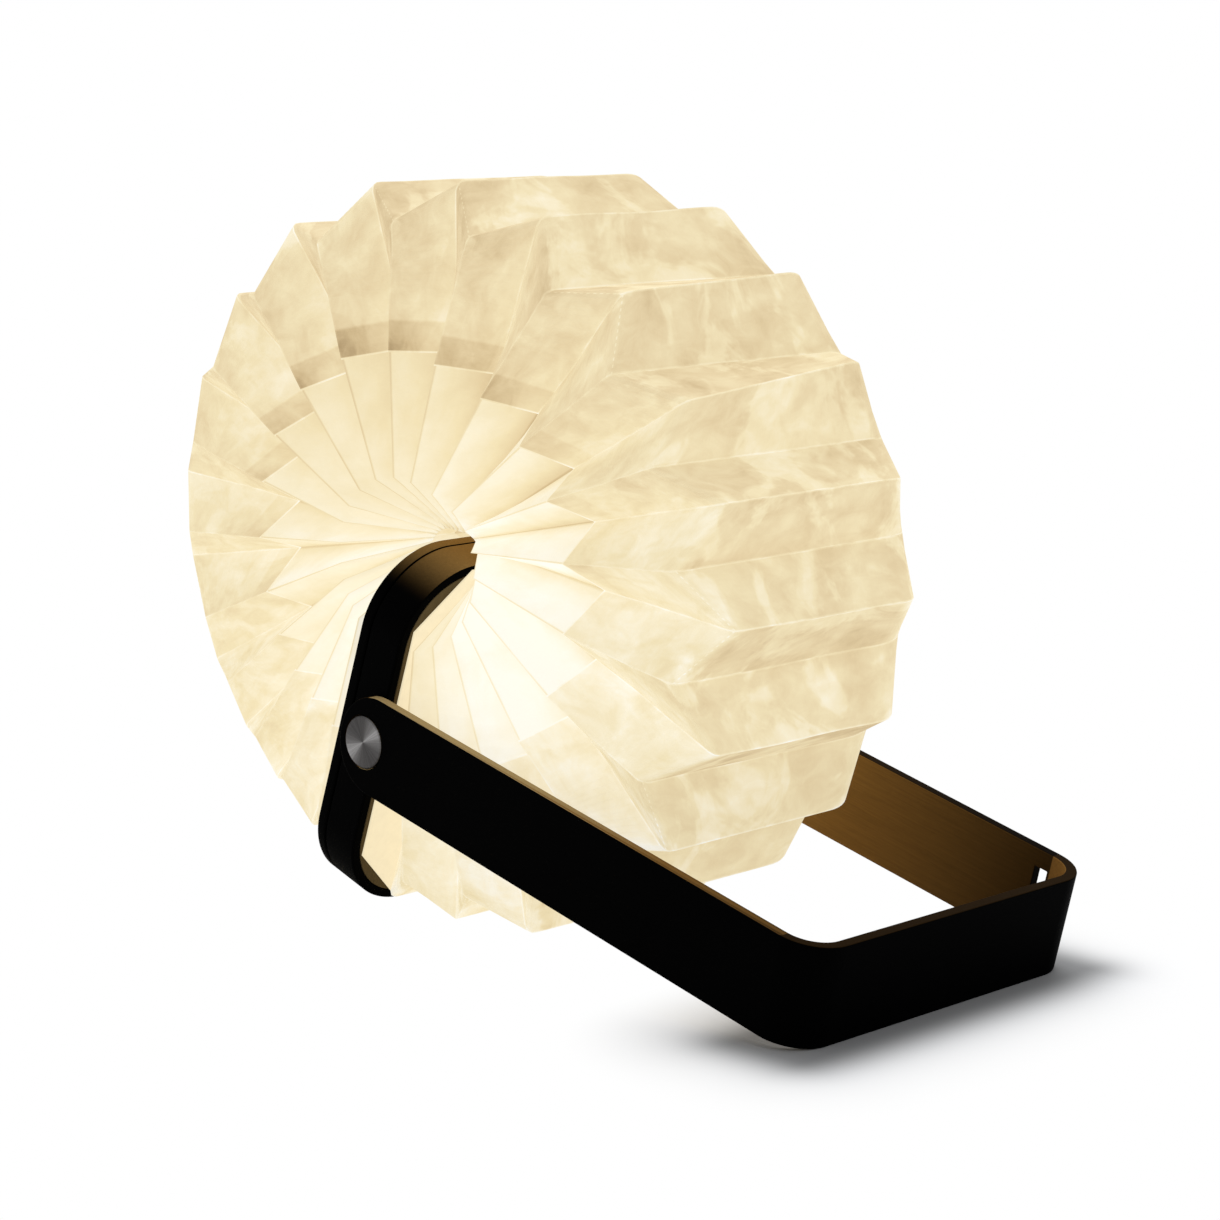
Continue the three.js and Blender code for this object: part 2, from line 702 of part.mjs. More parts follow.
// One pleat as a closed sheet: a crest line, a ridge line and the next crest line. Neighbours are a
// seat gap apart, and so are the first and last pleats from their cards.
function buildPleat(number) {
  const crest = crestLine();
  const ridge = ridgeLine();
  const firstShift = number === 0 ? seatGap : seatGap / 2;
  const lastShift = number === pleatCount - 1 ? -seatGap : -seatGap / 2;
  const rows = [false, true].map((inward) => [
    foldLinePoints(crest, number / pleatCount, firstShift, inward),
    foldLinePoints(ridge, (number + 0.5) / pleatCount, 0, inward),
    foldLinePoints(crest, (number + 1) / pleatCount, lastShift, inward),
  ]);
  const lineCount = rows[0].length;
  const across = rows[0][0].length;
  const positions = [];
  for (const lines of rows) {
    for (const line of lines) {
      for (const point of line) {
        positions.push(point.x, point.y, point.z);
      }
    }
  }
  const at = (layer, j, i) => (layer * lineCount + j) * across + i;
  const index = [];
  const quad = (a, b, c, d) => index.push(a, b, c, a, c, d);
  for (let j = 0; j < lineCount - 1; j += 1) {
    for (let i = 0; i < across - 1; i += 1) {
      quad(at(0, j, i), at(0, j, i + 1), at(0, j + 1, i + 1), at(0, j + 1, i));
      quad(at(1, j, i), at(1, j + 1, i), at(1, j + 1, i + 1), at(1, j, i + 1));
    }
    quad(at(0, j, 0), at(0, j + 1, 0), at(1, j + 1, 0), at(1, j, 0));
    const end = across - 1;
    quad(at(0, j, end), at(1, j, end), at(1, j + 1, end), at(0, j + 1, end));
  }
  const lastLine = lineCount - 1;
  for (let i = 0; i < across - 1; i += 1) {
    quad(at(0, 0, i), at(1, 0, i), at(1, 0, i + 1), at(0, 0, i + 1));
    quad(at(0, lastLine, i), at(0, lastLine, i + 1), at(1, lastLine, i + 1), at(1, lastLine, i));
  }
  const geometry = new THREE.BufferGeometry();
  geometry.setAttribute('position', new THREE.Float32BufferAttribute(positions, 3));
  geometry.setIndex(index);
  return geometry;
}

// Assembly

const stand = new THREE.Group();
stand.position.z = pivotHeight;
stand.rotation.x = stripSlope;
addPiece(stand, 'handle_strip', buildStrip(), finishes.blackWood);

const book = new THREE.Group();
book.position.z = pivotHeight;
book.rotation.x = coverLean;
addPiece(book, 'front_cover_tray', buildFrontTray(), finishes.blackWood);
addPiece(book, 'front_cover_plate', buildFrontPlate(), finishes.brownWood);
postPlaces().forEach((place, i) => addPiece(book, `plate_screw_${i + 1}`, buildPlateScrew(place), finishes.brushedSteel));
for (const [end, side] of [['near', -1], ['far', 1]]) {
  addPiece(book, `pivot_cap_${end}`, buildPivotCap(side), finishes.brushedSteel);
  addPiece(book, `pivot_washer_${end}`, buildPivotWasher(side), finishes.brushedSteel);
  addPiece(book, `pivot_bracket_${end}`, buildPivotBracket(side), finishes.brushedSteel);
  addPiece(book, `front_magnet_${end}`, buildFrontMagnet(side), finishes.magnet);
  addPiece(book, `back_magnet_${end}`, buildBackMagnet(side), finishes.magnet);
}
addPiece(book, 'battery_pack', buildBattery(), finishes.battery);
addPiece(book, 'control_board', buildBoard(), finishes.board);
addPiece(book, 'charge_socket', buildSocket(), finishes.brushedSteel);
addPiece(book, 'battery_lead', buildBatteryLead(), finishes.lead);
addPiece(book, 'light_bar_lead', buildLightLead(), finishes.lead);
addPiece(book, 'light_bar', buildLightBar(), finishes.whiteBoard);
addPiece(book, 'light_diffuser', buildDiffuser(), finishes.diffuser);
addPiece(book, 'front_paper_card', buildCard(frontInner - seatGap - cardThickness, 0), finishes.card);
addPiece(book, 'back_cover_tray', buildBackTray(), finishes.blackWood);
addPiece(book, 'back_cover_plate', buildBackPlate(), finishes.brownWood);
addPiece(book, 'back_paper_card', buildCard(backInner + seatGap, 1), finishes.card);
for (let number = 0; number < pleatCount; number += 1) {
  const name = `paper_pleat_${String(number + 1).padStart(2, '0')}`;
  addPiece(book, name, buildPleat(number), finishes.paper);
}

const lamp = new THREE.Group();
lamp.add(stand, book);
lamp.updateMatrixWorld(true);

// The origin is the middle of the footprint, at floor level
const bounds = new THREE.Box3().setFromObject(lamp, true);
const middle = bounds.getCenter(new THREE.Vector3());
lamp.position.set(-middle.x, -middle.y, -bounds.min.z);
lamp.updateMatrixWorld(true);

export default lamp;
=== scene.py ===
"""Looks of the paper book lamp: a folded paper shade opened all the way round between two thin
covers, propped on its bent strip handle. Lengths are in millimetres and are turned to metres."""
import json
import math
import random
import bmesh
import bpy
from mathutils import Matrix, Vector


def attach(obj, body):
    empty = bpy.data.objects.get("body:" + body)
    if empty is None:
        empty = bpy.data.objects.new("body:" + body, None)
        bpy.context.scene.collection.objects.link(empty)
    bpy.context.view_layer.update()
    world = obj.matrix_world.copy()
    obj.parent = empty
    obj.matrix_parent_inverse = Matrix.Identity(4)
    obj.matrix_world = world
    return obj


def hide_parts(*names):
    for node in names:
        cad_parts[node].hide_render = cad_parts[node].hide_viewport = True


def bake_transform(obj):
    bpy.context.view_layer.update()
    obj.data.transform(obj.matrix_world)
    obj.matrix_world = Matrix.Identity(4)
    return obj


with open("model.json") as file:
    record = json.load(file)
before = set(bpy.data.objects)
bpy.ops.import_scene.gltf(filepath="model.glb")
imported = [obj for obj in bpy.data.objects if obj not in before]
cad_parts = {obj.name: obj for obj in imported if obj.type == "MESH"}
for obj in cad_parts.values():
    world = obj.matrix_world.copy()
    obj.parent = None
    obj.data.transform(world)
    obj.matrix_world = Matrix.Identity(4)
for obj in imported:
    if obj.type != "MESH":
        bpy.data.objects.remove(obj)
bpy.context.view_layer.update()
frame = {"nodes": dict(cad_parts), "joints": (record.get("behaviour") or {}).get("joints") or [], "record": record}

MM = 0.001
# Lengths that differ by less than this number are the same, in either unit
NEARLY = 1e-6
joints = {joint["name"]: joint for joint in frame["joints"]}
PIVOT = Vector(joints["handle_turn"]["pos_m"])

# The lamp's own sizes, the same as in the solids
COVER_LEAN = math.radians(18.145)
STRIP_SLOPE = math.radians(13.245)
HALF_SPAN = 60.0
PIVOT_TO_BASE = 179.0
BEND_RADIUS = 13.0
CAP_RADIUS = 7.85
CAP_PROUD = 0.3
CAP_THICKNESS = 1.5
SHANK_RADIUS = 1.25
SHANK_END = 50.0
HUB_Y = 6.75
HUB_Z = 55.4
CARD_OFFSET = 9.55

# The shade: how the fold lines sag and crowd, how their radius bulges at the sides and sinks at the
# top, how close they come to the floor, the paper's thickness, and the gap between two sheets
PLEATS = 22
FOLD_WIDTH = 18.0
SAG_SHARE = 0.0486
CROWD_SHARE = 0.0273
BULGE_SHARE = 0.0703
BACK_BULGE_SHARE = 0.0104
SINK_SHARE = 0.0356
FLOOR_CLEARANCE = 0.6
PAPER = 0.3
SHEET_GAP = 0.35
# Unevenness of a hand-folded line: its size, the number of its bends, how slow and how quick they
# are in radians for each millimetre, and the length over which it sets in past the cut edge
WANDER = 0.35
WANDER_BENDS = 3
WANDER_RATES = (0.04, 0.16)
WANDER_START = 20.0

# Fold lines as inset from the strip's outer face and radius from the hub
HUB = (25.5, 7.3)
KNEE = (4.4, 24.8)
STEP = (7.4, 63.4)
RIDGE_END = (13.2, 100.0)
CREST_END = (22.6, 112.3)
RIM_RUN = 10.0
# How much farther in the fold lines run on the front side, at the hub and at the knee, and how
# quickly that sets in towards the front
FRONT_INSET = (2.0, 4.6)
FRONT_RISE = 1.5
# Direction in which the shade reaches farther at its back, by how much, and by how much of its
# radius the cut edge drops at the top
BACK = math.radians(-105)
BACK_GROWTH = 0.052
TOP_EDGE_DROP = 0.038
# How far out the turns of the crests and of the ridges sit on the far side, with the radius of
# each, and along how much of the line
FAR_RIM = [(4.8, CREST_END[1]), (7.5, RIDGE_END[1])]
FAR_RIM_REACH = 25.0
# Length over which a rim's turn is rounded, by whether it lies on the far side
RIM_ROUNDING = {False: 3.5, True: 9.0}
# Steps between one corner of a fold line and the next, and along half of the drum
LINE_STEPS = [5, 6, 4, 12, 5]
DRUM_STEPS = 6
MIDDLE_RADIUS = (STEP[1] + RIDGE_END[1]) / 2
OVERLAP_END = STEP[1] + (MIDDLE_RADIUS - STEP[1]) / 2
# Length of a fold line on the flat sheet, from the hub to the middle of the drum
DRUM_START = CREST_END[1] + RIM_RUN
DRUM_HALF = HALF_SPAN - CREST_END[0] - RIM_RUN
MIDDLE = DRUM_START + DRUM_HALF
# Turns in degrees by which the fold lines stray from even pleats: crests at the near and at the
# far end, and ridges
CREST_STRAY_NEAR = [0, 0, 0, -1.0, -0.6, -0.9, -1.1, -0.2, 3.3, 2.8, 1.6, 1.8, 0.9, -1.1, -1.5,
                    -0.4, 0.1, 1.6, -1.6, -1.2, -0.2, 0.2, 0]
CREST_STRAY_FAR = [0, 0, 0, -2.3, -1.3, -0.6, -0.9, -0.2, 0, 1.1, 1.7, 1.5, 0.4, -1.0, -1.5,
                   -0.8, -0.2, -0.5, -1.6, -1.2, -0.3, 0.2, 0]
RIDGE_STRAY = [0, 0, -1.0, -1.2, -0.8, -0.7, -0.2, 2.0, 4.0, 3.5, 1.7, 1.1, -0.7, -2.4, -2.7,
               -0.8, -1.2, -2.1, -1.6, -1.1, 0.2, 0.1]

# How bright each kind of face looks: level, and what is added towards the top of the lamp,
# towards its front, from crest to ridge, the same towards the front, and outwards along the sheet
PAPER_LIGHT = {
    ("inner", "broad"): (0.90, -0.19, 0.0, 0.02, 0.2, -0.17),
    ("inner", "narrow"): (0.86, -0.1, 0.15, -0.16, 0.0, -0.02),
    ("side", "broad"): (0.73, -0.10, 0.02, -0.15, 0.04, -0.06),
    ("side", "narrow"): (0.69, -0.15, 0.13, -0.08, -0.03, -0.04),
    ("drum", "broad"): (0.56, -0.10, 0.02, -0.02, 0.0, 0.0),
    ("drum", "narrow"): (0.41, 0.11, 0.02, 0.03, 0.0, 0.0),
}
# How much dimmer the inner sheet looks beside the front cover, and over how many fold lines
COVER_DIMMING = 0.3
COVER_DIMMING_LINES = 5
# How quickly the side's light turns into the drum's past the rim
RIM_LIGHT_TURN = 6
# Where the second sheet dims the first one most, how much it does anywhere and how much more
# there, and the narrow faces' share of that
DOUBLED_SIDE = math.radians(-40)
DOUBLED_BASE = 0.04
DOUBLED_RISE = 0.2
DOUBLED_NARROW_SHARE = 0.3
# Steps of the number that sets one face of paper apart from the next in its finish
PLEAT_SEED = 40.0
NARROW_SEED = 9.0
FAR_SEED = 400.0
# Share of the paper's colour that it gives off and doesn't reflect, and how strongly
PAPER_GLOW_SHARE = 0.72
PAPER_GLOW = 0.78
BLACK = (0.0, 0.0, 0.0, 1.0)
BLACK_STAIN = (2, 2, 2)
# Distance between the pivot caps' lathe rings, how many fans of painted highlight their colour
# shows, and how far the fans are turned
RING_PITCH = 0.16
FANS = 2.0
FAN_TURN = 1.1


def srgb(red, green, blue):
    """A colour as it shows on a screen, 0 to 255, as the linear values that a material takes."""
    def linear(value):
        share = value / 255
        return share / 12.92 if share <= 0.04045 else ((share + 0.055) / 1.055) ** 2.4
    return (linear(red), linear(green), linear(blue), 1.0)


# Shader helpers

class Link:
    """An output of a material's node; Python's operators add Math nodes to it."""

    def __init__(self, shader, socket):
        self.shader = shader
        self.socket = socket

    def math(self, operation, *others):
        return self.shader.node("ShaderNodeMath", {"operation": operation}, (self, *others))

    def __add__(self, other):
        return self.math("ADD", other)

    def __sub__(self, other):
        return self.math("SUBTRACT", other)

    def __rsub__(self, other):
        return self.shader.node("ShaderNodeMath", {"operation": "SUBTRACT"}, (other, self))

    def __mul__(self, other):
        return self.math("MULTIPLY", other)

    def __truediv__(self, other):
        return self.math("DIVIDE", other)

    def __pow__(self, other):
        return self.math("POWER", other)

    __radd__ = __add__
    __rmul__ = __mul__

    def absolute(self):
        return self.math("ABSOLUTE")

    def above(self, low, high):
        """0 up to low, 1 from high on, smooth between."""
        settings = {"interpolation_type": "SMOOTHSTEP", "clamp": True}
        sockets = {"Value": self, "From Min": low, "From Max": high}
        return self.shader.node("ShaderNodeMapRange", settings, sockets)

    def below(self, low, high):
        return 1 - self.above(low, high)


class Shader:
    """A material under construction."""

    def __init__(self, name):
        self.material = bpy.data.materials.new(name)
        self.material.use_nodes = True
        self.tree = self.material.node_tree
        self.surface = self.tree.nodes["Principled BSDF"]

    def node(self, kind, settings, sockets, output=0):
        made = self.tree.nodes.new(kind)
        for name, value in settings.items():
            if name == "stops":
                elements = made.color_ramp.elements
                elements.remove(elements[1])
                elements[0].position, elements[0].color = value[0]
                for position, colour in value[1:]:
                    elements.new(position).color = colour
            else:
                setattr(made, name, value)
        pairs = sockets.items() if isinstance(sockets, dict) else enumerate(sockets)
        for name, value in pairs:
            if isinstance(value, Link):
                self.tree.links.new(value.socket, made.inputs[name])
            else:
                made.inputs[name].default_value = value
        return Link(self, made.outputs[output])

    def attribute(self, name, output="Fac"):
        return self.node("ShaderNodeAttribute", {"attribute_name": name}, {}, output)

    def place(self):
        return self.node("ShaderNodeTexCoord", {}, {}, "Object")

    def scaled(self, vector, scale):
        return self.node("ShaderNodeVectorMath", {"operation": "MULTIPLY"}, (vector, scale))

    def split(self, vector):
        """The three numbers of a vector."""
        made = self.node("ShaderNodeSeparateXYZ", {}, (vector,))
        return [Link(self, output) for output in made.socket.node.outputs]

    def noise(self, vector, scale, detail=4.0, roughness=0.55, distortion=0.0):
        return self.node("ShaderNodeTexNoise", {}, {
            "Vector": vector, "Scale": scale, "Detail": detail, "Roughness": roughness,
            "Distortion": distortion}, "Fac")

    def ramp(self, factor, *stops):
        return self.node("ShaderNodeValToRGB", {"stops": stops}, (factor,))

    def mix(self, factor, first, second, blend="MIX"):
        settings = {"data_type": "RGBA", "blend_type": blend}
        return self.node("ShaderNodeMix", settings, {0: factor, 6: first, 7: second}, 2)

    def bump(self, height, distance, strength=1.0):
        sockets = {"Height": height, "Distance": distance, "Strength": strength}
        return self.node("ShaderNodeBump", {}, sockets)

    def finish(self, **sockets):
        for name, value in sockets.items():
            socket = self.surface.inputs[name.replace("_", " ")]
            if isinstance(value, Link):
                self.tree.links.new(value.socket, socket)
            else:
                socket.default_value = value
        return self.material


# Finishes

def inner_paper_light(flat, clouds, streaks):
    """The plain sheet near the hub: painted shade darkens it towards its crests and along every
    crease, and painted light brightens it towards its ridges.
    """
    _, across, _ = flat.shader.split(flat)
    crest = across.absolute()
    ridge = (across - FOLD_WIDTH).absolute()
    light = clouds * 0.36 + streaks * 0.14 - ridge.below(0.25, 0.8) * 0.24
    light = light - crest.below(0.2, 1.2) * 0.2 - crest.below(0.5, 6.0) * 0.12
    return light + across.above(0.0, FOLD_WIDTH) * 0.2 - 0.07


def outer_paper_light(flat, clouds, streaks, fibres):
    """The fibrous sheet: blotched most on the drum, with painted highlights along its creases and along
    dotted diagonals on some pleats, a painted highlight on its cut edge, and a band of painted shade
    where the inner sheet lies under it, deepest towards the ridge."""
    shader = flat.shader
    along, across, seed = shader.split(flat)
    crest = across.absolute()
    ridge = (across - FOLD_WIDTH).absolute()
    past_rim = MIDDLE - CREST_END[1] - (along - MIDDLE).absolute()
    drumness = past_rim.above(-14.0, 2.0)
    patches = shader.noise(flat, 0.04, 4.0, 0.6, 0.8).above(0.48, 0.58) - 0.4
    light = clouds * 0.58 + streaks * 0.46 + fibres * 0.06 + patches * (0.06 + drumness * 0.12)

    # Painted highlights along the creases and the dotted diagonals
    crease = (crest.below(0.15, 0.55) + ridge.below(0.15, 0.5) * 0.7).math("MINIMUM", 1.0)
    diagonal = past_rim.absolute().below(0.15, 0.5)
    some_pleats = (seed * 0.37).math("SINE").above(0.1, 0.2)
    dots = (across * 4.0).math("SINE").above(-0.2, 0.4) * some_pleats
    creases = (crease + diagonal * dots).math("MINIMUM", 1.0)
    light = light + creases * (0.08 + drumness * 0.08 + streaks * 0.35)

    # Painted highlight on the cut edge, and painted shade in the band where the sheets overlap, deeper at the
    # ridge corner
    cut = along.below(STEP[1] + 0.3, STEP[1] + 0.7)
    band = along.below(OVERLAP_END - 0.7, OVERLAP_END + 0.5) * (1 - cut)
    corner = across.above(4.0, FOLD_WIDTH) * along.below(STEP[1], OVERLAP_END)
    doubled = shader.attribute("doubled")
    return light - band * doubled * (0.8 + corner * 0.6) + cut * 0.16


def paper_finish(name, inner):
    """Fibrous paper lit from inside. The mesh says how much light comes through each place, and
    where on the flat sheet it lies: along the folds, and across them from crest to ridge."""
    shader = Shader(name)
    flat = shader.attribute("flat", "Vector")
    clouds = shader.noise(flat, 0.05, 5.0, 0.55, 0.4) - 0.5
    streaks = shader.noise(shader.scaled(flat, (0.6, 1.0, 1.0)), 0.15, 5.0, 0.6, 0.7) - 0.5
    fibres = shader.noise(shader.scaled(flat, (1.0, 0.18, 1.0)), 1.4, 3.0, 0.7, 0.8) - 0.5
    if inner:
        light = inner_paper_light(flat, clouds, streaks)
    else:
        light = outer_paper_light(flat, clouds, streaks, fibres)
    light = light + shader.attribute("glow")
    colour = shader.ramp(
        light,
        (0.0, srgb(162, 137, 100)), (0.2, srgb(208, 185, 143)), (0.4, srgb(228, 208, 167)),
        (0.6, srgb(241, 226, 186)), (0.8, srgb(250, 240, 212)), (1.0, srgb(255, 252, 240)))
    # The paper's own colour carries the same painted light and shade, dimmed
    own = shader.mix(PAPER_GLOW_SHARE, colour, BLACK)
    relief = shader.bump(streaks + fibres, 0.12 * MM, 0.5)
    return shader.finish(Base_Color=own, Roughness=0.85, Specular_IOR_Level=0.1,
                         Emission_Color=colour, Emission_Strength=PAPER_GLOW, Normal=relief)


def wood_finish(name, brown, stain, painted_light_fade=None, lit_edge_pale=None):
    """Stained wood: dark grain, and unstained brown where the mesh says so, partly standing for painted
    light. A given fade sets the brown in between two places along the grain, as painted light and
    shade from the lamp. A given pale colour is what values beyond 1 turn the brown to, as a painted
    highlight."""
    shader = Shader(name)
    grain = shader.attribute("grain", "Vector")
    bare = shader.attribute("bare")
    if painted_light_fade:
        # Painted light and shade of the lamp: the brown shows fully only towards one end along the grain
        along, _, _ = shader.split(grain)
        bare = bare * along.above(*painted_light_fade) ** 1.6
    lines = shader.noise(shader.scaled(grain, (0.06, 1.6, 1.6)), 0.9, 6.0, 0.7, 0.8)
    pores = shader.noise(shader.scaled(grain, (0.3, 5.0, 5.0)), 1.4, 2.0, 0.6)
    deep_stain = [0.6 * value for value in stain]
    deep_brown = [0.84 * value for value in brown]
    dark = shader.ramp(lines, (0.3, srgb(*deep_stain)), (0.7, srgb(*stain)))
    light = shader.ramp(lines, (0.25, srgb(*deep_brown)), (0.75, srgb(*brown)))
    if lit_edge_pale:
        # Painted highlight: values beyond 1 turn the brown pale
        light = shader.mix((bare - 1.0).math("MAXIMUM", 0.0), light, srgb(*lit_edge_pale))
    colour = shader.mix(bare, dark, light)
    return shader.finish(Base_Color=colour, Roughness=0.5 + lines * 0.14, Specular_IOR_Level=0.006,
                         Normal=shader.bump(lines * 0.5 + pores, 0.05 * MM, 0.4))


def turned_steel():
    """Metal faced on a lathe: fine rings in its relief, and the two fans of light that such rings
    throw, painted into its colour as highlights with a sparkle.
    """
    shader = Shader("turned_steel")
    x, y, z = shader.split(shader.place())
    out = (y - PIVOT.y) * (y - PIVOT.y) + (z - PIVOT.z) * (z - PIVOT.z)
    radius = out.math("SQRT")
    angle = shader.node("ShaderNodeMath", {"operation": "ARCTAN2"}, (z - PIVOT.z, y - PIVOT.y))
    rings = (radius * (2 * math.pi / (RING_PITCH * MM))).math("SINE")
    fan = ((angle * FANS + FAN_TURN).math("COSINE") * 0.5 + 0.5) ** 2.2
    wound = shader.node("ShaderNodeCombineXYZ", {}, (angle * 9.0, radius * 40.0, 0.0))
    sparkle = shader.noise(wound, 1.0, 4.0)
    # Painted highlights: the fans and the sparkle set the colour's brightness
    tone = fan * 0.5 + sparkle * 0.35
    colour = shader.ramp(
        tone, (0.1, srgb(56, 54, 53)), (0.55, srgb(104, 102, 101)), (0.9, srgb(182, 181, 180)))
    return shader.finish(Base_Color=colour, Metallic=1.0, Roughness=0.3 + rings * 0.05,
                         Normal=shader.bump(rings, 0.01 * MM, 0.5))


def plain_finish(name, dark, light, size, roughness, metallic=0.0, relief=0.05, emission=None,
                 strength=0.0):
    """A finish of two close tones, mottled at the given size."""
    shader = Shader(name)
    mottle = shader.noise(shader.place(), 1 / (size * MM), 4.0, 0.6)
    colour = shader.ramp(mottle, (0.35, srgb(*dark)), (0.65, srgb(*light)))
    extra = {"Emission_Color": srgb(*emission), "Emission_Strength": strength} if emission else {}
    return shader.finish(Base_Color=colour, Metallic=metallic, Roughness=roughness + mottle * 0.1,
                         Normal=shader.bump(mottle, relief * MM, 0.4), **extra)


outer_paper = paper_finish("outer_paper", False)
inner_paper = paper_finish("inner_paper", True)
# Along the strip's arms the unstained brown fades to the stain away from the pivot, as painted shade away from the
# lamp, and the pale colour is painted light on the near arm's edges. The covers' brown shows on their thin edges
# near the paper's hub only, as painted light of its glow.
strip_wood = wood_finish("strip_wood", (134, 98, 50), BLACK_STAIN, painted_light_fade=(-230.0, -60.0),
                         lit_edge_pale=(184, 164, 119))
cover_wood = wood_finish("cover_wood", (168, 131, 76), BLACK_STAIN, painted_light_fade=(44.5, 60.0))
lining_wood = wood_finish("lining_wood", (92, 78, 52), BLACK_STAIN)
cap_steel = turned_steel()
inner_finishes = {
    # The card's glow is painted light of the lamp shining through it
    "card": plain_finish("card_stock", (132, 120, 96), (144, 132, 108), 3.0, 0.8,
                         emission=(250, 236, 200), strength=0.75),
    "magnet": plain_finish("plated_magnet", (150, 150, 154), (196, 198, 202), 1.5, 0.2, 1.0),
    "battery": plain_finish("battery_foil", (150, 152, 156), (186, 188, 192), 6.0, 0.35, 0.7, 0.2),
    "board": plain_finish("green_board", (18, 78, 42), (28, 102, 56), 1.2, 0.4),
    "light_bar": plain_finish("lit_diodes", (240, 238, 226), (250, 248, 240), 2.0, 0.4,
                              emission=(255, 236, 196), strength=1.0),
    "diffuser": plain_finish("milky_cover", (240, 234, 218), (250, 246, 234), 4.0, 0.35,
                             emission=(255, 240, 206), strength=0.9),
    "lead": plain_finish("lead_skin", (120, 22, 18), (156, 34, 28), 0.8, 0.5),
    "washer": plain_finish("slip_washer", (206, 206, 200), (226, 226, 220), 1.0, 0.3),
    "brushed_steel": plain_finish("pressed_steel", (140, 140, 142), (176, 176, 178), 0.7, 0.32,
                                  metallic=1.0),
}


# Places on the lamp

def on_book(x, y, z):
    """A place in the covers' own frame, in millimetres, as a place in the scene."""
    turned = Matrix.Rotation(COVER_LEAN, 3, "X") @ Vector((x, y, z))
    return PIVOT + turned * MM


def direction_at(share):
    sag = SAG_SHARE * math.sin(math.pi * share)
    crowd = CROWD_SHARE * math.sin(2 * math.pi * share)
    return math.pi - 2 * math.pi * (share + sag - crowd)


def bulge_at(direction):
    sideways = math.sin(direction)
    topness = (1 + math.cos(direction)) / 2
    wide = 1 + BULGE_SHARE * sideways * sideways - BACK_BULGE_SHARE * sideways
    return wide - SINK_SHARE * topness


def fold_depth(radius):
    spread = radius * math.pi / PLEATS
    return math.sqrt(FOLD_WIDTH ** 2 - spread ** 2)


def line_direction(line, x):
    """Direction of fold line number line, where even ones are crests, at a place along the
    lamp's width."""
    evenly = direction_at(line / (2 * PLEATS))
    number = line // 2
    if line % 2:
        return evenly + math.radians(RIDGE_STRAY[number])
    far = min(max((x / (HALF_SPAN - CREST_END[0]) + 1) / 2, 0), 1)
    stray = CREST_STRAY_NEAR[number] * (1 - far) + CREST_STRAY_FAR[number] * far
    return evenly + math.radians(stray)


def fold_place(x, radius, line):
    direction = line_direction(line, x)
    offset = CARD_OFFSET * (1 - line / PLEATS)
    up = radius * math.cos(direction) + offset * math.sin(direction)
    out = radius * math.sin(direction) - offset * math.cos(direction)
    return on_book(x, HUB_Y - out, HUB_Z + up)


def floored(x, radius, line):
    """A radius shortened where the lamp presses the paper flat on the floor."""
    root = fold_place(x, 0, line).z
    drop = root - fold_place(x, radius, line).z
    room = root - FLOOR_CLEARANCE * MM
    return radius * room / drop if drop > room else radius


def ridge_inset(radius):
    share = (radius - STEP[1]) / (RIDGE_END[1] - STEP[1])
    return STEP[0] + share * (RIDGE_END[0] - STEP[0])


def half_line(kind):
    """Corners of half a fold line, from the hub to the drum: inset and radius."""
    if kind == "ridge":
        return [HUB, KNEE, STEP, (ridge_inset(MIDDLE_RADIUS), MIDDLE_RADIUS), RIDGE_END,
                (RIDGE_END[0] + RIM_RUN, RIDGE_END[1])]
    return [HUB, (KNEE[0] + fold_depth(KNEE[1]), KNEE[1]), (STEP[0] + fold_depth(STEP[1]), STEP[1]),
            (ridge_inset(MIDDLE_RADIUS) + fold_depth(MIDDLE_RADIUS), MIDDLE_RADIUS), CREST_END,
            (CREST_END[0] + RIM_RUN, CREST_END[1])]


def rounded_rim(points, far):
    """The same points, with the turn from the side to the drum rounded, more on the far side."""
    corner = CREST_END[1]
    reach = RIM_ROUNDING[far]

    def at(length):
        after = next(i for i, point in enumerate(points) if point[2] >= length)
        low, high = points[after - 1], points[after]
        share = (length - low[2]) / (high[2] - low[2])
        return Vector((low[0] + share * (high[0] - low[0]), low[1] + share * (high[1] - low[1])))

    start, middle, end = [at(corner + turn * reach) for turn in (-1, 0, 1)]
    rounded = []
    for inset, radius, length in points:
        share = (length - corner + reach) / (2 * reach)
        if 0 < share < 1:
            bend = start * (1 - share) ** 2 + middle * 2 * share * (1 - share) + end * share ** 2
            inset, radius = bend
        rounded.append((inset, radius, length))
    return rounded


def sampled_line(kind, far):
    """Half a fold line as many points: inset, radius and length from the hub on the flat sheet."""
    corners = half_line(kind)
    marks = [radius for _, radius in half_line("crest")[:-1]]
    marks.append(DRUM_START)
    points = []
    for i, steps in enumerate(LINE_STEPS):
        for j in range(steps):
            share = j / steps
            inset = corners[i][0] + share * (corners[i + 1][0] - corners[i][0])
            radius = corners[i][1] + share * (corners[i + 1][1] - corners[i][1])
            points.append((inset, radius, marks[i] + share * (marks[i + 1] - marks[i])))
    last_inset, last_radius = corners[-1]
    for j in range(DRUM_STEPS + 1):
        share = j / DRUM_STEPS
        inset = last_inset + share * (HALF_SPAN - last_inset)
        points.append((inset, last_radius, DRUM_START + share * DRUM_HALF))
    return rounded_rim(points, far)


def inward_step(points, i):
    """Unit step square to a fold line, towards the inside of the shade: in inset and in radius."""
    before = points[max(i - 1, 0)]
    after = points[min(i + 1, len(points) - 1)]
    run = after[0] - before[0]
    rise = after[1] - before[1]
    length = math.hypot(run, rise)
    return (rise / length, -run / length)


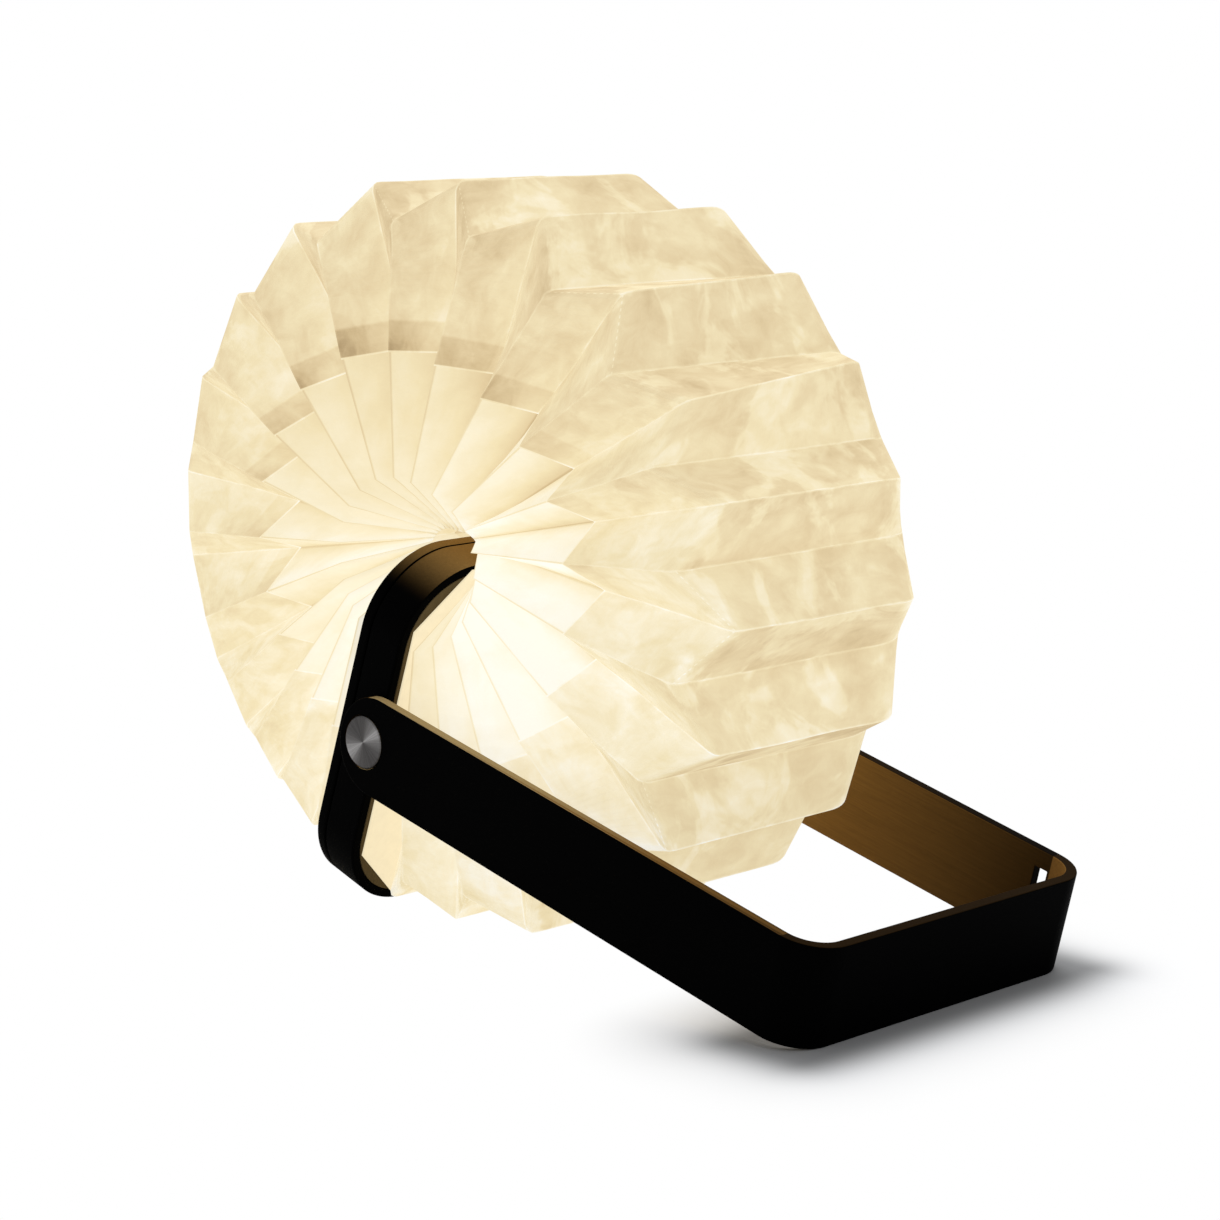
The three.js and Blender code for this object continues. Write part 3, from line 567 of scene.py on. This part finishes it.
def wander(line, length):
    """Small unevenness of a hand-folded line, the same for the two pleats that share it."""
    dice = random.Random(line)
    bends = [(dice.uniform(*WANDER_RATES), dice.uniform(0, 2 * math.pi))
             for _ in range(WANDER_BENDS)]
    return WANDER * sum(math.sin(rate * length + phase) for rate, phase in bends) / len(bends)


def face_light(zone, kind, line, outward):
    level, to_top, to_front, to_ridge, ridge_front, to_rim = PAPER_LIGHT[zone, kind]
    direction = direction_at(line / (2 * PLEATS))
    front = math.sin(direction)
    light = level + to_top * math.cos(direction) + to_front * front + to_rim * outward
    if zone == "inner":
        light -= COVER_DIMMING * max(1 - line / COVER_DIMMING_LINES, 0)
    return light + to_ridge + ridge_front * front if line % 2 else light


def glow_at(sheet, kind, line, length):
    """How much light comes through at a flat length along a fold line, 0 dim and 1 white."""
    length = min(length, 2 * MIDDLE - length)
    if sheet == "inner":
        return face_light("inner", kind, line, length / STEP[1])
    on_side = (length - STEP[1]) / (CREST_END[1] - STEP[1])
    turned = min(max((on_side - 1) * RIM_LIGHT_TURN, 0), 1)
    side = face_light("side", kind, line, min(on_side, 1))
    return side + turned * (face_light("drum", kind, line, 0) - side)


def doubled_at(kind, line):
    """How much darker a face looks where the second sheet lies under it, most at the top
    towards the back."""
    facing = (1 + math.cos(direction_at(line / (2 * PLEATS)) - DOUBLED_SIDE)) / 2
    share = DOUBLED_NARROW_SHARE if kind == "narrow" else 1.0
    return (DOUBLED_BASE + DOUBLED_RISE * facing ** 2) * share


def extra_scale(direction, length):
    """Growth of the shade at the back, and a cut edge that sits lower at the top."""
    at_top = max(math.cos(direction), 0) ** 2
    at_back = max(math.cos(direction - BACK), 0) ** 4
    past_knee = min(max((length - KNEE[1]) / (STEP[1] - KNEE[1]), 0), 1)
    to_rim = min(max((length - STEP[1]) / (CREST_END[1] - STEP[1]), 0), 1)
    return BACK_GROWTH * at_back * to_rim - TOP_EDGE_DROP * at_top * past_knee * (1 - to_rim)


def front_inset(length):
    """How much farther in a front fold line runs at a flat length, none from the cut edge on."""
    if length < KNEE[1]:
        share = (length - HUB[1]) / (KNEE[1] - HUB[1])
        return FRONT_INSET[0] + share * (FRONT_INSET[1] - FRONT_INSET[0])
    return FRONT_INSET[1] * max(1 - (length - KNEE[1]) / (STEP[1] - KNEE[1]), 0)


def line_rows(line, low, high, depth, far):
    """Points of a fold line between two flat lengths."""
    direction = direction_at(line / (2 * PLEATS))
    scale = bulge_at(direction)
    frontness = min(FRONT_RISE * max(math.sin(direction), 0), 1)
    points = sampled_line("ridge" if line % 2 else "crest", far)
    picked = []
    for i, (inset, radius, length) in enumerate(points):
        if low - NEARLY <= length <= high + NEARLY:
            step = inward_step(points, i)
            place = 2 * MIDDLE - length if far else length
            stray = wander(line, place) * min(max((length - STEP[1]) / WANDER_START, 0), 1)
            x = HALF_SPAN - inset - frontness * front_inset(length) - depth * step[0] - stray
            if far:
                rim_out, rim_end = FAR_RIM[line % 2]
                x += rim_out * max(1 - abs(length - rim_end) / FAR_RIM_REACH, 0)
            x = x if far else -x
            grown = radius * (scale + extra_scale(direction, length))
            reach = floored(x, grown, line) + depth * step[1] - stray
            picked.append((fold_place(x, reach, line), length))
    return picked


def whole_line(line, low, depth):
    """The outer sheet's line, from the cut edge on the near end round the drum to the far one."""
    near = line_rows(line, low, MIDDLE, depth, False)
    far = line_rows(line, low, MIDDLE, depth, True)
    return near + [(place, 2 * MIDDLE - length) for place, length in reversed(far[:-1])]


def new_values(mesh, **kinds):
    """New values for the corners of a mesh's faces, by name and kind."""
    for name, kind in kinds.items():
        mesh.attributes.new(name, kind, "CORNER")
    return [mesh.attributes[name].data for name in kinds]


def sheet_mesh(name, sheet, rows_of, pleat):
    """A folded sheet between crest line, ridge line and crest line, closed round its thickness.
    rows_of(line, depth) gives the strips of the sheet, each a list of points."""
    lines = [2 * pleat, 2 * pleat + 1, 2 * pleat + 2]
    layers = [[rows_of(line, depth) for line in lines] for depth in (0.0, PAPER)]
    vertices = []
    faces = []
    marks = []
    for part in range(len(layers[0][0])):
        count = len(layers[0][0][part])
        last = count - 1
        first = len(vertices)
        for rows in layers:
            for row in rows:
                vertices.extend(point[0] for point in row[part])

        def face(kind, *corners):
            order = list(reversed(corners)) if part == 1 else corners
            faces.append([first + (layer * 3 + j) * count + i for layer, j, i in order])
            for _, j, i in order:
                length = layers[0][j][part][i][1]
                across = FOLD_WIDTH if j == 1 else 0.0
                seed = PLEAT_SEED * pleat + FAR_SEED * part
                seed += NARROW_SEED if kind == "narrow" else 0.0
                light = glow_at(sheet, kind, lines[j], length)
                marks.append(((length, across, seed), light, doubled_at(kind, lines[j])))

        for j, kind in ((0, "broad"), (1, "narrow")):
            for i in range(last):
                face(kind, (0, j, i), (0, j, i + 1), (0, j + 1, i + 1), (0, j + 1, i))
                face(kind, (1, j, i), (1, j + 1, i), (1, j + 1, i + 1), (1, j, i + 1))
            face(kind, (0, j, 0), (0, j + 1, 0), (1, j + 1, 0), (1, j, 0))
            face(kind, (0, j, last), (1, j, last), (1, j + 1, last), (0, j + 1, last))
        for i in range(last):
            face("broad", (0, 0, i), (1, 0, i), (1, 0, i + 1), (0, 0, i + 1))
            face("narrow", (0, 2, i), (0, 2, i + 1), (1, 2, i + 1), (1, 2, i))

    mesh = bpy.data.meshes.new(name)
    mesh.from_pydata(vertices, [], faces)
    flat, glow, doubled = new_values(mesh, flat="FLOAT_VECTOR", glow="FLOAT", doubled="FLOAT")
    for corner, (place, light, second) in enumerate(marks):
        flat[corner].vector = place
        glow[corner].value = light
        doubled[corner].value = second
    return mesh


def place_pleat(piece, pleat):
    """The pleat keeps its place in the scene, and the CAD pleat that it stands for is hidden."""
    ridge = 2 * pleat + 1
    direction = line_direction(ridge, 0)
    root = fold_place(0, 0, ridge)
    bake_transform(piece)
    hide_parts(f"paper_pleat_{pleat + 1:02d}")


def new_piece(name, mesh, finish):
    piece = bpy.data.objects.new(name, mesh)
    bpy.context.scene.collection.objects.link(piece)
    mesh.materials.append(finish)
    return piece


def outer_rows(line, depth):
    """One strip, from the near cut edge round the drum to the far one."""
    return [whole_line(line, STEP[1], depth)]


def inner_rows(line, depth):
    """Two strips, near and far, from the hub to a little way under the outer sheet."""
    return [line_rows(line, 0.0, OVERLAP_END, SHEET_GAP + depth, far) for far in (False, True)]


def make_shade():
    sheets = (("outer", outer_rows, outer_paper), ("inner", inner_rows, inner_paper))
    for pleat in range(PLEATS):
        for sheet, rows, finish in sheets:
            name = f"{sheet}_pleat_{pleat + 1:02d}"
            piece = new_piece(name, sheet_mesh(name, sheet, rows, pleat), finish)
            place_pleat(piece, pleat)


# Wood

# Faces closer to flat than this are joined, and edges sharper than this are rounded
FLAT_ANGLE = math.radians(0.8)
ROUNDED_ANGLE = math.radians(40)
WOOD_SMOOTH_DEGREES = 35
STEEL_SMOOTH_DEGREES = 30
STRIP_EDGE = 0.35
COVER_EDGE = 0.12
# How brown the near arm's thin edges show, past 1 for a paler painted light of the lamp on them,
# and how brown all the strip's other edges show
LIT_EDGE = 1.6
OTHER_EDGE = 0.08
# How far above the pivot the lit edges end
LIT_EDGE_END = 1.0


def detailed_copy(node, name, edge):
    """A copy of a CAD solid with its sharp edges rounded."""
    mesh = frame["nodes"][node].data.copy()
    work = bmesh.new()
    work.from_mesh(mesh)
    bmesh.ops.remove_doubles(work, verts=work.verts, dist=NEARLY)
    bmesh.ops.dissolve_limit(work, angle_limit=FLAT_ANGLE, verts=work.verts, edges=work.edges)
    work.to_mesh(mesh)
    work.free()
    piece = bpy.data.objects.new(name, mesh)
    bpy.context.scene.collection.objects.link(piece)
    mesh.materials.clear()
    smooth_by_angle(mesh, WOOD_SMOOTH_DEGREES)
    bevel = piece.modifiers.new("edges", "BEVEL")
    bevel.width = edge * MM
    bevel.segments = 2
    bevel.limit_method = "ANGLE"
    bevel.angle_limit = ROUNDED_ANGLE
    bevel.use_clamp_overlap = False
    weighted = piece.modifiers.new("normals", "WEIGHTED_NORMAL")
    weighted.keep_sharp = True
    weighted.weight = 100
    view = bpy.context.evaluated_depsgraph_get()
    rounded = bpy.data.meshes.new_from_object(piece.evaluated_get(view))
    piece.modifiers.clear()
    piece.data = rounded
    return piece


def smooth_by_angle(mesh, degrees):
    work = bmesh.new()
    work.from_mesh(mesh)
    for face in work.faces:
        face.smooth = True
    for edge in work.edges:
        edge.smooth = edge.calc_face_angle(0.0) < math.radians(degrees)
    work.to_mesh(mesh)
    work.free()


def mark_wood(mesh, back_to_own, grain_of, bare_and_lit_of):
    """Grain direction of the wood, and how far it shows brown, as unstained wood and as painted light,
    from each corner's place and face normal.
    """
    grain, bare = new_values(mesh, grain="FLOAT_VECTOR", bare="FLOAT")
    turn = back_to_own.to_3x3()
    for polygon in mesh.polygons:
        normal = (turn @ polygon.normal).normalized()
        for corner in polygon.loop_indices:
            own = (back_to_own @ mesh.vertices[mesh.loops[corner].vertex_index].co) / MM
            grain[corner].vector = grain_of(own, normal)
            bare[corner].value = bare_and_lit_of(own, normal)


def own_frame(angle):
    return (Matrix.Translation(PIVOT) @ Matrix.Rotation(angle, 4, "X")).inverted()


def strip_grain(own, normal):
    if own.y < -PIVOT_TO_BASE + BEND_RADIUS:
        return (own.x, own.z, own.y)
    return (own.y, own.z, own.x)


def strip_bare_and_lit(own, normal):
    """The inside of the U is unstained and the outside stained; the near arm's thin edges get a paler
    painted light of the lamp, and the strip's other thin edges a touch of brown.
    """
    on_arm = own.y > -PIVOT_TO_BASE + BEND_RADIUS
    if abs(normal.z) > 0.5 or (on_arm and abs(normal.x) < 0.5):
        return LIT_EDGE if on_arm and own.x < 0 and own.y < LIT_EDGE_END else OTHER_EDGE
    inward = Vector((-own.x, -PIVOT_TO_BASE / 2 - own.y, 0))
    if on_arm:
        inward.y = 0
    return 1.0 if inward.length and inward.normalized().dot(normal) > 0.3 else 0.0


def cover_grain(own, normal):
    return (own.z, own.x, own.y)


def cover_bare_and_lit(own, normal):
    """Only the covers' thin edges turn brown, and the shader keeps that brown near the paper's hub only:
    painted light of its glow.
    """
    return 0.0 if abs(normal.y) > 0.7 else 1.0


def lining_bareness(own, normal):
    return 1.0


def make_wood():
    strip = detailed_copy("handle_strip", "bent_strip", STRIP_EDGE)
    mark_wood(strip.data, own_frame(STRIP_SLOPE), strip_grain, strip_bare_and_lit)
    strip.data.materials.append(strip_wood)
    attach(strip, "handle")
    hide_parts("handle_strip")
    for node, body in (("front_cover_tray", "front_cover"), ("front_cover_plate", "front_cover"),
                       ("back_cover_tray", "back_cover"), ("back_cover_plate", "back_cover")):
        is_lining = node.endswith("plate")
        name = node.replace("_tray", "_shell").replace("_plate", "_lining")
        cover = detailed_copy(node, name, COVER_EDGE)
        bare_and_lit_rule = lining_bareness if is_lining else cover_bare_and_lit
        mark_wood(cover.data, own_frame(COVER_LEAN), cover_grain, bare_and_lit_rule)
        cover.data.materials.append(lining_wood if is_lining else cover_wood)
        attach(cover, body)
        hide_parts(node)


# Pivot caps

# The face's dimple, the width of its sloping border and of its chamfer, and the shank's tip
CAP_DIMPLE_RADIUS = 0.4
CAP_DIMPLE = 0.05
CAP_FLAT = 1.2
CAP_CHAMFER = 0.3
SHANK_TIP_RADIUS = 0.6


def turned_mesh(name, profile, steps=96):
    """Mesh of a profile, radius and distance along X, turned about the pivot axis."""
    vertices = []
    faces = []
    for radius, x in profile:
        for i in range(steps):
            angle = 2 * math.pi * i / steps
            place = Vector((x, radius * math.cos(angle), radius * math.sin(angle)))
            vertices.append(PIVOT + place * MM)
    for j in range(len(profile) - 1):
        for i in range(steps):
            after = (i + 1) % steps
            near = j * steps
            far = near + steps
            faces.append([near + i, near + after, far + after, far + i])
    faces.append(list(reversed(range(steps))))
    faces.append([(len(profile) - 1) * steps + i for i in range(steps)])
    mesh = bpy.data.meshes.new(name)
    mesh.from_pydata(vertices, [], faces)
    work = bmesh.new()
    work.from_mesh(mesh)
    bmesh.ops.recalc_face_normals(work, faces=work.faces)
    work.to_mesh(mesh)
    work.free()
    return mesh


def make_caps():
    face = HALF_SPAN + CAP_PROUD
    for end, side in (("near", -1), ("far", 1)):
        profile = [(CAP_DIMPLE_RADIUS, face - CAP_DIMPLE), (CAP_RADIUS - CAP_FLAT, face),
                   (CAP_RADIUS - CAP_CHAMFER, face), (CAP_RADIUS, face - CAP_CHAMFER),
                   (CAP_RADIUS, face - CAP_THICKNESS), (SHANK_RADIUS, face - CAP_THICKNESS),
                   (SHANK_RADIUS, SHANK_END), (SHANK_TIP_RADIUS, SHANK_END)]
        turned = turned_mesh(f"cap_{end}", [(radius, side * x) for radius, x in profile])
        cap = new_piece(f"turned_cap_{end}", turned, cap_steel)
        smooth_by_angle(cap.data, STEEL_SMOOTH_DEGREES)
        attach(cap, "front_cover")
        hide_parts(f"pivot_cap_{end}")


def finish_inner_parts():
    """Parts that keep their CAD shape get a finish by their material slot."""
    slots = {part["node"]: part["material_slot"] for part in frame["record"]["subparts"]}
    for node, thing in frame["nodes"].items():
        finish = inner_finishes.get(slots.get(node))
        if finish and not thing.hide_render:
            thing.data.materials.clear()
            thing.data.materials.append(finish)


# Stage, lights and camera

# The handle's foot on the floor, from its front to its back, and how far and how strongly a shadow
# is painted on the floor there
FOOT_FRONT = -139.0
FOOT_BACK = -118.0
FOOT_SHADE_REACH = 14.0
FOOT_SHADE = 0.68
# Distance from the foot from which on the floor shows as plain white
WHITE_FLOOR = 50.0
FLOOR_SIZE = 4000.0
FLOOR_COLOUR = (0.93, 0.94, 0.96, 1.0)
SKY_LEVEL = 0.7
SUN_LEVEL = 1.5
SUN_SPREAD = math.radians(50)
SUN_FROM = (0.5, 0.75, 1.5)
# The camera's place, measured from the middle of the pivot line, its turn in degrees, and its lens
CAMERA_PLACE = (-668.124, -706.946, 212.930)
CAMERA_TURN = (79.4842, -0.5773, -45.0342)
CAMERA_LENS = 95.557
CAMERA_FILM = 36.0


def make_stage():
    mesh = bpy.data.meshes.new("floor")
    half = FLOOR_SIZE / 2 * MM
    corners = [(-half, -half, 0), (half, -half, 0), (half, half, 0), (-half, half, 0)]
    mesh.from_pydata(corners, [], [(0, 1, 2, 3)])
    shader = Shader("white_floor")
    x, y, _ = shader.split(shader.place())
    # Painted shadow round the handle's foot: the floor's colour darkens near it
    beside = (x.absolute() - HALF_SPAN * MM).math("MAXIMUM", 0.0)
    before = (FOOT_FRONT * MM - y).math("MAXIMUM", 0.0)
    behind = (y - FOOT_BACK * MM).math("MAXIMUM", 0.0)
    along = before + behind
    away = (beside * beside + along * along).math("SQRT")
    reach = away / (FOOT_SHADE_REACH * MM)
    shade = (reach * reach * -1.0).math("EXPONENT") * FOOT_SHADE
    colour = shader.mix(shade, FLOOR_COLOUR, BLACK)
    base = shader.finish(Base_Color=colour, Roughness=0.9, Specular_IOR_Level=0.1)
    tree = shader.tree
    seen = shader.node("ShaderNodeLightPath", {}, {}, "Is Camera Ray")
    whiteness = away.above(0.0, WHITE_FLOOR * MM)
    white = tree.nodes.new("ShaderNodeEmission")
    white.inputs["Strength"].default_value = 1.0
    mixer = tree.nodes.new("ShaderNodeMixShader")
    tree.links.new((seen * whiteness).socket, mixer.inputs[0])
    tree.links.new(shader.surface.outputs[0], mixer.inputs[1])
    tree.links.new(white.outputs[0], mixer.inputs[2])
    tree.links.new(mixer.outputs[0], tree.nodes["Material Output"].inputs["Surface"])
    floor = new_piece("floor", mesh, base)


def make_lights():
    scene = bpy.context.scene
    world = bpy.data.worlds.new("studio")
    scene.world = world
    world.use_nodes = True
    tree = world.node_tree
    background = tree.nodes["Background"]
    background.inputs["Color"].default_value = (1, 1, 1, 1)
    path = tree.nodes.new("ShaderNodeLightPath")
    level = tree.nodes.new("ShaderNodeMath")
    level.operation = "MULTIPLY_ADD"
    level.inputs[1].default_value = 1 - SKY_LEVEL
    level.inputs[2].default_value = SKY_LEVEL
    tree.links.new(path.outputs["Is Camera Ray"], level.inputs[0])
    tree.links.new(level.outputs[0], background.inputs["Strength"])
    sun = bpy.data.lights.new("window", "SUN")
    sun.energy = SUN_LEVEL
    sun.angle = SUN_SPREAD
    window = bpy.data.objects.new("window", sun)
    window.rotation_euler = Vector(SUN_FROM).to_track_quat("Z", "Y").to_euler()
    scene.collection.objects.link(window)
    scene.view_settings.view_transform = "Standard"


def make_camera():
    camera = bpy.data.cameras.new("camera")
    camera.lens = CAMERA_LENS
    camera.sensor_width = CAMERA_FILM
    camera.clip_start = 0.01
    camera.clip_end = 20.0
    holder = bpy.data.objects.new("camera", camera)
    holder.location = PIVOT + Vector(CAMERA_PLACE) * MM
    holder.rotation_euler = [math.radians(angle) for angle in CAMERA_TURN]
    bpy.context.scene.collection.objects.link(holder)
    bpy.context.scene.camera = holder


make_camera()
make_shade()
make_wood()
make_caps()
finish_inner_parts()
make_stage()
make_lights()
